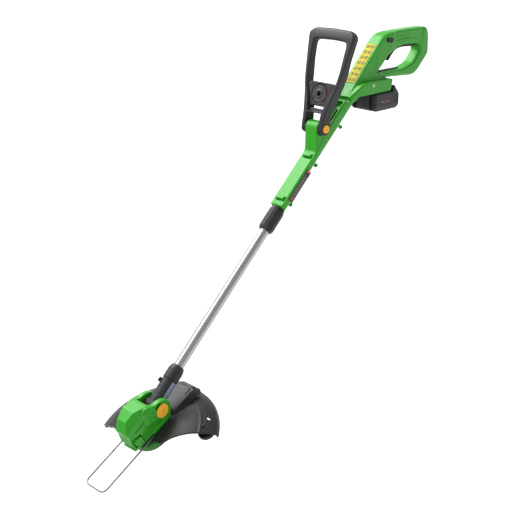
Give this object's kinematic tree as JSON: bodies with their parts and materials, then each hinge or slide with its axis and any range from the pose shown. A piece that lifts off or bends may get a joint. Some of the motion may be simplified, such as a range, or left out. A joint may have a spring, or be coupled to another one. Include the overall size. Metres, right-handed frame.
{
  "type": "string trimmer",
  "caption": "Cordless string trimmer: telescopic tube, tilting head with line spool and flared guard, looped rear grip with trigger and battery, and a folding front handle.",
  "frame": {"origin": "middle of the rear grip, where the hand closes behind the trigger", "axes": "+X runs up the shaft from the cutting head to the rear handle, +Z points out of the shaft's front face, -Y is the tool's left-hand side"},
  "size_m": [1.3138, 0.2684, 0.2996],
  "materials": {
    "green_shell": "moulded, satin gloss",
    "dark_plastic": "moulded, fine grain",
    "guard_plastic": "moulded, satin",
    "spool_grey": "moulded, fine grain",
    "orange_button": "moulded, gloss",
    "tube_aluminium": "extruded, satin anodised",
    "cells": "shrink-wrapped cells",
    "steel": "bright drawn",
    "circuit_board": "coated board",
    "yellow_label": "printed film",
    "dark_label": "printed film",
    "nylon_line": "extruded nylon",
    "rubber_lead": "rubber sheath"
  },
  "bodies": {
    "housing": {"handle_shell_left": "green_shell", "handle_shell_right": "green_shell", "trigger_pin": "steel", "switch_box": "dark_plastic", "control_board": "circuit_board", "terminal_block": "dark_plastic", "pictogram_label": "yellow_label", "rating_label": "dark_label", "loop_strip": "dark_plastic", "shaft_bush": "dark_plastic", "front_hinge_bolt": "steel", "shell_screw_1": "steel", "shell_screw_2": "steel", "shell_screw_3": "steel", "shell_screw_4": "steel", "hinge_washer_left": "dark_plastic", "hinge_washer_right": "dark_plastic"},
    "trigger": {"trigger": "dark_plastic"},
    "lock": {"lock_button": "dark_plastic"},
    "battery": {"battery_case_lower": "dark_plastic", "battery_case_upper": "dark_plastic", "cell_pack": "cells"},
    "battery_catch": {"battery_latch": "dark_plastic"},
    "front_handle": {"front_handle_loop": "dark_plastic", "spool_holder": "spool_grey"},
    "fold_catch_left": {"fold_button_left": "orange_button"},
    "fold_catch_right": {"fold_button_right": "orange_button"},
    "spare": {"spare_spool": "spool_grey", "spare_line": "nylon_line"},
    "collar": {"lock_collar": "dark_plastic"},
    "shaft": {"shaft_tube": "tube_aluminium", "power_lead": "rubber_lead", "lower_collar": "dark_plastic"},
    "neck_hub": {"neck": "dark_plastic"},
    "swivel_catch": {"swivel_button": "dark_plastic"},
    "head": {"head_shell": "green_shell", "head_base": "green_shell", "motor": "steel", "tilt_pin": "steel", "guard": "guard_plastic", "line_cutter": "steel"},
    "tilt_catch_left": {"tilt_button_left": "orange_button"},
    "tilt_catch_right": {"tilt_button_right": "orange_button"},
    "head_catch": {"release_catch": "green_shell"},
    "wire": {"wire_guard": "steel"},
    "spool": {"drive_shaft": "steel", "spool_cover": "green_shell"},
    "reel": {"line_reel": "dark_plastic", "cutting_line": "nylon_line", "bump_knob": "dark_plastic"},
    "wheel": {"edge_wheel": "dark_plastic"}
  },
  "joints": [
    {"name": "trigger_pull", "type": "hinge", "parent": "housing", "child": "trigger", "pos_m": [0.01, 0, -0.032], "axis": [0, 1, 0], "range_deg": [0, 5], "stiffness_Nm_per_rad": 0.6, "springref_deg": -8.59},
    {"name": "lock_press", "type": "slide", "parent": "housing", "child": "lock", "axis": [0, 1, 0], "range_m": [0, 0.003], "stiffness_N_per_m": 300, "springref_m": -0.003},
    {"name": "battery_slide", "type": "slide", "parent": "housing", "child": "battery", "axis": [0.7314, 0, -0.682], "range_m": [0, 0.095]},
    {"name": "battery_latch_press", "type": "slide", "parent": "battery", "child": "battery_catch", "axis": [-0.7314, 0, 0.682], "range_m": [0, 0.003], "stiffness_N_per_m": 300, "springref_m": -0.003},
    {"name": "front_handle_fold", "type": "hinge", "parent": "housing", "child": "front_handle", "pos_m": [-0.347, 0, 0.093], "axis": [0, -1, 0], "range_deg": [-15, 75]},
    {"name": "fold_button_left_press", "type": "slide", "parent": "front_handle", "child": "fold_catch_left", "axis": [0, 1, 0], "range_m": [0, 0.0035], "stiffness_N_per_m": 300, "springref_m": -0.003},
    {"name": "fold_button_right_press", "type": "slide", "parent": "front_handle", "child": "fold_catch_right", "axis": [0, -1, 0], "range_m": [0, 0.0035], "stiffness_N_per_m": 300, "springref_m": -0.003},
    {"name": "spare_spool_pull", "type": "slide", "parent": "front_handle", "child": "spare", "axis": [-0.5344, 0, 0.8453], "range_m": [0, 0.035]},
    {"name": "collar_twist", "type": "hinge", "parent": "housing", "child": "collar", "pos_m": [-0.575, 0, 0.052], "axis": [1, 0, 0], "range_deg": [0, 60]},
    {"name": "shaft_slide", "type": "slide", "parent": "housing", "child": "shaft", "axis": [1, 0, 0], "range_m": [0, 0.2]},
    {"name": "head_swivel", "type": "hinge", "parent": "shaft", "child": "neck_hub", "pos_m": [-0.985, 0, 0.052], "axis": [1, 0, 0], "range_deg": [0, 180]},
    {"name": "swivel_button_press", "type": "slide", "parent": "neck_hub", "child": "swivel_catch", "axis": [0, -0.7071, -0.7071], "range_m": [0, 0.003], "stiffness_N_per_m": 300, "springref_m": -0.003},
    {"name": "head_tilt", "type": "hinge", "parent": "neck_hub", "child": "head", "pos_m": [-1.051, 0, 0.052], "axis": [0, 1, 0], "range_deg": [0, 60]},
    {"name": "tilt_button_left_press", "type": "slide", "parent": "head", "child": "tilt_catch_left", "axis": [0, 1, 0], "range_m": [0, 0.0035], "stiffness_N_per_m": 300, "springref_m": -0.003},
    {"name": "tilt_button_right_press", "type": "slide", "parent": "head", "child": "tilt_catch_right", "axis": [0, -1, 0], "range_m": [0, 0.0035], "stiffness_N_per_m": 300, "springref_m": -0.003},
    {"name": "release_catch_press", "type": "slide", "parent": "head", "child": "head_catch", "axis": [0, 1, 0], "range_m": [0, 0.003], "stiffness_N_per_m": 300, "springref_m": -0.003},
    {"name": "wire_guard_fold", "type": "hinge", "parent": "head", "child": "wire", "pos_m": [-1.10208, 0, 0.03315], "axis": [0, 1, 0], "range_deg": [0, 90]},
    {"name": "spool_spin", "type": "hinge", "parent": "head", "child": "spool", "pos_m": [-1.09997, 0, 0.01268], "axis": [0.2419, 0, 0.9703], "continuous": true},
    {"name": "bump_feed", "type": "slide", "parent": "spool", "child": "reel", "axis": [0.2419, 0, 0.9703], "range_m": [0, 0.003], "stiffness_N_per_m": 500, "springref_m": -0.003},
    {"name": "edge_wheel_spin", "type": "hinge", "parent": "head", "child": "wheel", "pos_m": [-1.03798, -0.095, -0.02391], "axis": [0.2419, 0, 0.9703], "continuous": true}
  ]
}
